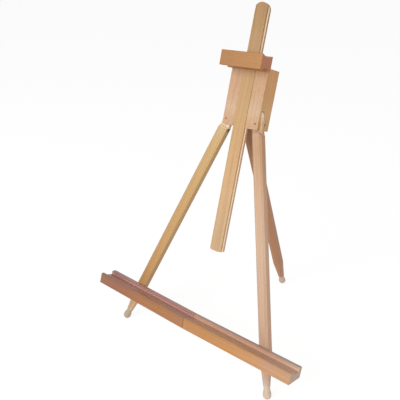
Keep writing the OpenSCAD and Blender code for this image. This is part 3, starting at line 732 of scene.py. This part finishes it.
def beech(name, place, along, stops, late, seed, ring_gap=5.0, centre=(60, 35), tone=None,
          end=(0.84, 0.76, 0.76)):
    """Planed beech under a thin satin lacquer: growth rings about a pith that lies off the
    piece, long fibres, short dark ray flecks, slow changes of hue, darker end grain, paler
    arrises, partly wear and partly a painted highlight.  The stops give the base colour at
    places along the grain, and late is the share of it that is left in the late wood.  A
    tone adds what one piece is given alone, painted light and shade among it, and end is
    the share of the colour that is left on the end grain."""
    m, tree, shader = material(name)
    p = piece_coords(tree, place, along, seed)
    own = parts(tree, piece_coords(tree, place, along))
    first, last = stops[0][0], stops[-1][0]
    marks = [((z - first) / (last - first), linear(c)) for z, c in stops]
    colour = ramp(tree, between(tree, own[2], first, last), marks)
    # growth rings: distance from the pith, bent by slow noise, in bands ring_gap wide
    wander = grain_noise(tree, p, 0.12, scale=28.0, detail=2.0)
    off = vector_math(tree, "ADD", p, (centre[0] * MM, centre[1] * MM, 0))
    radius = vector_math(tree, "LENGTH", vector_math(tree, "MULTIPLY", off, (1, 1, 0.015)))
    radius = total(tree, radius, product(tree, wander, 0.014))
    phase = math_node(tree, "FRACT", math_node(tree, "DIVIDE", radius, ring_gap * MM))
    rings = ramp(tree, phase, [(0.0, 0.12), (0.55, 0.3), (0.86, 1.0), (0.95, 0.75), (1.0, 0.12)])
    hue = grain_noise(tree, p, 0.10, scale=26.0, rough=0.55, distort=0.3)
    yellow = ramp(tree, hue, [(0.28, 1.0), (0.48, 0.0)])
    pink = ramp(tree, hue, [(0.52, 0.0), (0.72, 1.0)])
    fibre = grain_noise(tree, p, 0.02, scale=900.0, rough=0.6)
    fibre = ramp(tree, fibre, [(0.38, 0.0), (0.64, 1.0)])
    fleck = grain_noise(tree, p, 0.14, scale=1500.0, detail=2.0, rough=0.55)
    fleck = ramp(tree, fleck, [(0.60, 0.0), (0.68, 1.0)])
    streak = grain_noise(tree, p, 0.012, scale=120.0, rough=0.55, distort=0.4)
    streak = ramp(tree, streak, [(0.42, 0.0), (0.72, 1.0)])
    for figure, strength, gain in ((rings, 0.42, late),
                                   (yellow, 0.55, (0.97, 1.02, 0.78)),
                                   (pink, 0.55, (1.03, 0.95, 1.04)),
                                   (streak, 0.28, late),
                                   (fibre, 0.14, [c * 0.72 for c in late]),
                                   (fleck, 0.32, [c * 0.62 for c in late])):
        colour = times(tree, colour, product(tree, figure, strength), gain)
    if tone:
        colour = tone(tree, place, own, colour)
    # end grain, where the surface faces along the grain
    grain = place.right if along == "x" else place.up
    for way in (grain, -grain):
        colour = times(tree, colour, facing(tree, way, 0.75, 0.95), end)
    # paler arrises: partly wear, partly a painted highlight along the edges
    scuff = noise(tree, p, scale=160.0, detail=4.0, rough=0.6)
    scuff = ramp(tree, scuff, [(0.35, 0.15), (0.65, 0.6)])
    wear_and_highlight = product(tree, arrises(tree, 0.50, 0.56), scuff)
    colour = times(tree, colour, wear_and_highlight, (1.22, 1.22, 1.25))
    tree.links.new(colour, shader.inputs["Base Color"])
    gloss = noise(tree, p, scale=220.0)
    rough = total(tree, product(tree, gloss, 0.16), 0.40, product(tree, fleck, 0.08))
    tree.links.new(rough, shader.inputs["Roughness"])
    height = total(tree, product(tree, fibre, 0.6), product(tree, fleck, -0.5))
    bump(tree, shader, height, strength=0.22, distance=0.00018)
    shader.inputs["Coat Weight"].default_value = 0.18
    shader.inputs["Coat Roughness"].default_value = 0.28
    return m


def metal(name, colour, rough, tarnish, brush=0.0):
    """Plated or brass metal with fine scratches and patches of duller tone."""
    m, tree, shader = material(name)
    coord = coords(tree, "Object")
    patch = noise(tree, coord, scale=180.0, detail=4.0, rough=0.6)
    patch = ramp(tree, patch, [(0.35, 0.0), (0.7, 1.0)])
    brushed = vector_math(tree, "MULTIPLY", coord, (1, 0.15, 1))
    fine = noise(tree, brushed, scale=2600.0, rough=0.6)
    tint = mix(tree, product(tree, patch, 0.55), linear(colour), linear(tarnish))
    tree.links.new(tint, shader.inputs["Base Color"])
    shader.inputs["Metallic"].default_value = 1.0
    level = total(tree, product(tree, patch, 0.18), rough, product(tree, fine, 0.1 + brush))
    tree.links.new(level, shader.inputs["Roughness"])
    bump(tree, shader, fine, strength=0.25, distance=0.00006)
    return m


def moulded(name, colour, worn_colour, rough):
    """Moulded plastic with a fine skin grain, and paler rubbed edges."""
    m, tree, shader = material(name)
    coord = coords(tree, "Object")
    cloud = noise(tree, coord, scale=120.0, detail=4.0)
    cloud = ramp(tree, cloud, [(0.3, 0.0), (0.7, 1.0)])
    colour = linear(colour)
    tint = mix(tree, product(tree, cloud, 0.35), colour, tuple(c * 0.86 for c in colour))
    edge = product(tree, arrises(tree, 0.51, 0.60), 0.5)
    tint = mix(tree, edge, tint, linear(worn_colour))
    tree.links.new(tint, shader.inputs["Base Color"])
    level = total(tree, product(tree, cloud, 0.12), rough)
    tree.links.new(level, shader.inputs["Roughness"])
    skin = noise(tree, coord, scale=1800.0, detail=2.0)
    bump(tree, shader, skin, strength=0.3, distance=0.00005)
    return m


# ---- what one wooden piece is given alone, painted light and shade among it -----------
#
# A tone's own coordinates are right, back and up in the piece, or back, up and right
# where its grain runs along x.

# pale cream of the tongues: partly their own paler wood, partly painted light
TONGUE_PALE_LIT = (250, 228, 196)
# painted highlight on the fronts of the mast's flanges
FLANGE_HIGHLIGHT = (226, 197, 168)


def block_tone(tree, place, own, colour):
    """The sides are painted a deeper, more orange tone than the front: painted side shade."""
    for way in (place.right, -place.right):
        colour = times(tree, colour, facing(tree, way, 0.6, 0.9), (1.17, 0.97, 0.60))
    return colour


def mast_flange_highlight(tree, place, own, colour):
    """A pale painted highlight on the fronts of the flanges, which also lifts the shade of the
    step beside them.
    """
    half = math_node(tree, "ABSOLUTE", own[0])
    strip = product(tree, between(tree, half, MAST_W / 2, MAST_W / 2 + 0.5),
                    between(tree, own[1], MAST_FRONT_T + 1.2, MAST_FRONT_T + 0.7))
    return mix(tree, strip, colour, linear(FLANGE_HIGHLIGHT))


def tray_tone(low, highlight_band, top, crest_shade, tip):
    """A greyer upper part of the front, and other colours behind the lip: low in the
    groove, painted paler and pinker than the front as painted light; a band half-way up the
    wall of the ridge, a painted highlight; and top on the ridge.  The crest of the ridge is
    darkened on its upward flats as painted shade, and the far end is tinted besides."""
    def tone(tree, place, own, colour):
        back, up, along = own

        def patches(scale, stops, seed=None):
            p = piece_coords(tree, place, "x", seed)
            return ramp(tree, noise(tree, p, scale, detail=2.0), stops)

        def under_top(lo, hi):
            return between(tree, up, TRAY_H - lo, TRAY_H - hi)

        upper = product(tree, between(tree, up, 12, TRAY_H),
                        between(tree, back, 4 - TRAY_D, -TRAY_D),
                        patches(22.0, [(0.3, 0.4), (0.65, 1.0)]))
        colour = times(tree, colour, upper, (0.80, 0.84, 1.05))
        amber = patches(40.0, [(0.42, 0.0), (0.62, 1.0)], 31)
        colour = times(tree, colour, amber, (1.03, 1.0, 0.74))
        # behind the lip, but not on the ends, the back or the underside
        behind = between(tree, back, LIP_T - TRAY_D, LIP_T - TRAY_D + 2)
        for way in (place.right, -place.right, place.back, -place.up):
            away = ramp(tree, facing(tree, way, 0.75, 0.95), [(0.0, 0.97), (1.0, 0.0)])
            behind = product(tree, behind, away)
        # painted light: the groove and ridge paler and pinker than the front
        colour = mix(tree, behind, colour, linear(low))
        colour = mix(tree, product(tree, under_top(4.5, 3), behind), colour, linear(top))
        # painted highlight: a pale band half-way up the wall of the ridge
        wall = product(tree, under_top(7, 5.5), under_top(2.5, 4),
                       between(tree, back, -RIDGE_T - 2, -RIDGE_T), behind)
        colour = mix(tree, wall, colour, linear(highlight_band))
        # painted shade: the ridge's upward flats darkened
        flat = product(tree, behind, under_top(2, 1), facing(tree, place.up, 0.9, 0.97))
        colour = times(tree, colour, flat, crest_shade)
        far = between(tree, math_node(tree, "ABSOLUTE", along), 180, 230)
        return times(tree, colour, product(tree, behind, far), tip)
    return tone


def pale_lit_tongue(tree, own, colour, where):
    """A pale cream from the shoulder up: partly the tongue's own paler wood, partly painted light
    that lifts the shade under the head and in the slot.
    """
    bare = product(tree, between(tree, own[2], -SHOULDER_DROP - 2, -SHOULDER_DROP), where)
    return mix(tree, bare, colour, linear(TONGUE_PALE_LIT))


def left_leg_tone(tree, place, own, colour):
    """The chamfers to the right are painted paler than the front, a painted highlight that is
    strongest near the foot.
    """
    chamfer = facing(tree, (place.right - place.back) / np.sqrt(2), 0.85, 0.95)
    colour = times(tree, colour, chamfer, (1.16, 1.16, 1.20))
    low = product(tree, chamfer, between(tree, own[2], -250, -400))
    colour = times(tree, colour, low, (1.10, 1.16, 1.30))
    return pale_lit_tongue(tree, own, colour, 0.8)


def right_leg_tone(tree, place, own, colour):
    """The side is painted redder and darker than the front, a painted shade, and the tongue is
    painted pale at its top only.
    """
    colour = times(tree, colour, facing(tree, place.right, 0.6, 0.9), (1.0, 0.90, 0.86))
    return pale_lit_tongue(tree, own, colour, between(tree, own[2], 2, 14))


# ---- the finishes ---------------------------------------------------------------------

LATE = (0.73, 0.61, 0.50)
TRAY_END = (0.86, 1.0, 1.3)
UNTINTED = (1, 1, 1)

# the paler stop at 22 mm is a painted highlight: a soft glare band across both cheeks
block_wood = beech(
    "beech_block", HEAD, "z",
    [(-10, (200, 161, 122)), (5, (203, 166, 130)), (22, (208, 176, 144)),
     (38, (203, 168, 134)), (55, (200, 161, 122)), (100, (198, 157, 120))],
    LATE, seed=3, ring_gap=6.0, centre=(55, -80), tone=block_tone)
mast_wood = beech(
    "beech_mast", HEAD, "z",
    [(-255, (204, 170, 128)), (-150, (211, 173, 126)), (-40, (206, 166, 112)),
     (60, (197, 158, 107)), (135, (198, 158, 112)), (180, (178, 139, 88)),
     (215, (172, 130, 83))],
    (0.78, 0.66, 0.53), seed=5, centre=(30, 60), tone=mast_flange_highlight)
yoke_wood = beech(
    "beech_yoke", HEAD, "x", [(-30, (190, 144, 98)), (30, (190, 144, 98))], LATE, seed=7)
holder_wood = beech(
    "beech_holder", HOLDER, "x",
    [(-46, (172, 120, 64)), (0, (179, 127, 66)), (46, (181, 128, 66))],
    LATE, seed=11, ring_gap=4.5, centre=(50, 45), end=(1.1, 0.80, 1.2))
# the pale stops at the top end belong to the tongue's pale cream, partly painted light
left_wood = beech(
    "beech_left_leg", LEFT_LEG, "z",
    [(-500, (206, 168, 128)), (-400, (196, 148, 90)), (-60, (206, 172, 114)),
     (-20, (210, 180, 130)), (0, (222, 198, 160))],
    (0.76, 0.66, 0.52), seed=13, ring_gap=4.5, centre=(25, 40), tone=left_leg_tone)
# the pale stop at the top end belongs to the tongue's pale cream, partly painted light
right_wood = beech(
    "beech_right_leg", RIGHT_LEG, "z",
    [(-503, (216, 192, 180)), (-488, (204, 176, 158)), (-472, (207, 169, 133)),
     (-440, (208, 175, 145)), (-350, (211, 178, 147)), (-250, (216, 185, 156)),
     (-150, (212, 178, 144)), (-50, (197, 158, 116)), (-15, (198, 161, 122)),
     (5, (222, 198, 160))],
    (0.77, 0.60, 0.51), seed=17, ring_gap=4.5, centre=(-35, 45), tone=right_leg_tone)
rear_wood = beech(
    "beech_rear_leg", REAR_LEG, "z", [(-480, (187, 130, 88)), (0, (190, 134, 92))],
    (0.70, 0.55, 0.46), seed=19, ring_gap=4.5, centre=(30, -35))
tray_left_wood = beech(
    "beech_tray_left", TRAY_LEFT, "x",
    [(-250, (160, 110, 82)), (-200, (160, 105, 76)), (-100, (174, 118, 73)),
     (-20, (180, 123, 79))],
    (0.68, 0.54, 0.52), seed=23, ring_gap=5.5, centre=(45, -50), end=TRAY_END,
    tone=tray_tone(low=(195, 143, 130), highlight_band=(232, 186, 174), top=(180, 134, 122),
                   crest_shade=UNTINTED, tip=(0.76, 0.74, 0.74)))
tray_right_wood = beech(
    "beech_tray_right", TRAY_RIGHT, "x",
    [(10, (194, 137, 84)), (60, (196, 140, 82)), (130, (203, 146, 88)),
     (190, (206, 156, 118)), (240, (204, 157, 124))],
    (0.72, 0.58, 0.49), seed=29, ring_gap=5.5, centre=(-50, 60), end=TRAY_END,
    tone=tray_tone(low=(207, 161, 133), highlight_band=(244, 203, 175), top=(206, 164, 140),
                   crest_shade=(0.76, 0.77, 0.80), tip=(1.05, 1.18, 1.30)))
left_tip = moulded("cream_tip_left", (188, 170, 144), (212, 196, 172), 0.42)
right_tip = moulded("cream_tip_right", (216, 194, 171), (234, 214, 193), 0.42)
rear_tip = moulded("cream_tip_rear", (208, 184, 162), (226, 208, 188), 0.42)
knob_plastic = moulded("black_knob", (30, 30, 32), (58, 58, 60), 0.38)
brass_metal = metal("brass_fitting", (196, 156, 84), 0.28, (150, 112, 58))
pin_metal = metal("browned_pin", (150, 112, 84), 0.42, (104, 74, 54))
steel_metal = metal("plated_steel", (176, 178, 180), 0.26, (134, 136, 138), brush=0.06)

# ---- the easel ------------------------------------------------------------------------


def finish(piece, mat, body, slot, *replaced):
    piece.data.materials.clear()
    piece.data.materials.append(mat)
    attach(piece, body)
    if replaced:
        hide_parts(*replaced)


def dress(node_name, mat):
    """Give a CAD node its finish."""
    piece = bpy.data.objects[node_name]
    if not piece.data.materials:
        piece.data.materials.append(mat)
    for i in range(len(piece.material_slots)):
        piece.material_slots[i].material = mat


for piece in front_leg("left_leg_bar", LEFT_LEG, -1):
    finish(piece, left_wood, "left_leg", "leg_wood", "left_leg")
for piece in front_leg("right_leg_bar", RIGHT_LEG, 1):
    finish(piece, right_wood, "right_leg", "leg_wood", "right_leg")
for piece in rear_leg("rear_leg_bar", REAR_LEG):
    finish(piece, rear_wood, "rear_leg", "rear_wood", "rear_leg")
finish(mast("mast_slide"), mast_wood, "mast", "mast_wood", "mast")
finish(tray_half("tray_half_left", -1),
       tray_left_wood, "tray_left_half", "tray_left_wood", "tray_left")
finish(tray_half("tray_half_right", 1),
       tray_right_wood, "tray_right_half", "tray_right_wood", "tray_right")
finish(canvas_holder("holder_bar"), holder_wood, "holder", "holder_wood", "canvas_holder")
finish(softened("head_block", 0.4), block_wood, "head", "block_wood", "head_block")
finish(softened("holder_yoke", 0.6), yoke_wood, "holder", "mast_wood", "holder_yoke")
finish(foot_tip("left_tip", LEFT_LEG, LEG_REACH),
       left_tip, "left_leg", "tip", "left_foot_tip")
finish(foot_tip("right_tip", RIGHT_LEG, LEG_REACH),
       right_tip, "right_leg", "tip", "right_foot_tip")
finish(foot_tip("rear_tip", REAR_LEG, rear_reach),
       rear_tip, "rear_leg", "tip", "rear_foot_tip")
finish(star_knob("mast_star_knob", HEAD.at(0, 0, MAST_LOCK_Z), MAST_KNOB_R, MAST_KNOB_T,
                 HEAD_D + MAST_KNOB_GAP),
       knob_plastic, "mast_lock", "knob", "mast_knob")
finish(star_knob("holder_star_knob", HEAD.at(0, 0, holder_lock_z), HOLDER_KNOB_R,
                 HOLDER_KNOB_T, yoke_back + HOLDER_KNOB_GAP),
       knob_plastic, "holder_lock", "knob", "holder_knob")

for name in ("left_tray_insert", "right_tray_insert", "mast_lock_insert",
             "holder_lock_insert", "left_hinge_leaf", "right_hinge_leaf",
             "left_hinge_screws", "right_hinge_screws"):
    dress(name, brass_metal)
for name in ("left_leg_pin", "right_leg_pin", "rear_leg_pin"):
    dress(name, pin_metal)
for name in ("mast_lock_screw", "holder_screws", "holder_lock_screw", "left_tray_washer",
             "right_tray_washer", "right_tray_bolt", "left_tray_bolt", "hinge_pin"):
    dress(name, steel_metal)

# ---- floor and light ------------------------------------------------------------------


def seen_by(tree, *rays):
    """1 for any of the kinds of ray, else 0."""
    path = tree.nodes.new("ShaderNodeLightPath")
    value = path.outputs[rays[0]]
    for ray in rays[1:]:
        value = math_node(tree, "MAXIMUM", value, path.outputs[ray])
    return value


def pale_floor(size=40.0):
    """A wide pale floor; the camera sees it mostly as white, with a soft shadow left in."""
    m, tree, shader = material("pale_floor")
    shader.inputs["Base Color"].default_value = (0.88, 0.88, 0.88, 1)
    shader.inputs["Roughness"].default_value = 0.9
    shader.inputs["Specular IOR Level"].default_value = 0.0
    glow = node(tree, "ShaderNodeEmission", Strength=1.16)
    direct = seen_by(tree, "Is Camera Ray", "Is Glossy Ray")
    blend = mix_shaders(tree, product(tree, direct, 0.74), shader.outputs[0], glow.outputs[0])
    out = next(n for n in tree.nodes if n.type == "OUTPUT_MATERIAL")
    tree.links.new(blend, out.inputs["Surface"])
    corners = [(-size, -size, 0), (size, -size, 0), (size, size, 0), (-size, size, 0)]
    floor = build("floor", corners, [[0, 1, 2, 3]], weighted=False)
    floor.data.materials.append(m)


def world_light(level):
    """Even light of one level, behind which the camera sees plain white."""
    world = bpy.data.worlds.new("studio")
    bpy.context.scene.world = world
    world.use_nodes = True
    tree = world.node_tree
    tree.nodes.clear()
    out = tree.nodes.new("ShaderNodeOutputWorld")
    soft = node(tree, "ShaderNodeBackground", Color=(1, 1, 1, 1), Strength=level)
    white = node(tree, "ShaderNodeBackground", Color=(1, 1, 1, 1), Strength=1.0)
    seen = seen_by(tree, "Is Camera Ray", "Is Glossy Ray", "Is Transmission Ray")
    blend = mix_shaders(tree, seen, soft.outputs[0], white.outputs[0])
    tree.links.new(blend, out.inputs["Surface"])


def softbox(name, place, size, power, target=(0, 0, 0.35)):
    """A square lamp that faces the middle of the easel; lengths in metres, power in watts."""
    lamp = bpy.data.lights.new(name, "AREA")
    lamp.shape = "SQUARE"
    lamp.size = size
    lamp.energy = power
    box = bpy.data.objects.new(name, lamp)
    bpy.context.scene.collection.objects.link(box)
    way = (Vector(target) - Vector(place)).to_track_quat("-Z", "Y")
    box.matrix_world = Matrix.Translation(Vector(place)) @ way.to_matrix().to_4x4()


pale_floor()
world_light(0.44)
softbox("key", (-0.5, -2.7, 1.7), size=2.0, power=46)
softbox("fill", (2.1, -1.5, 1.1), size=1.8, power=16)
bpy.context.scene.view_settings.view_transform = "Standard"
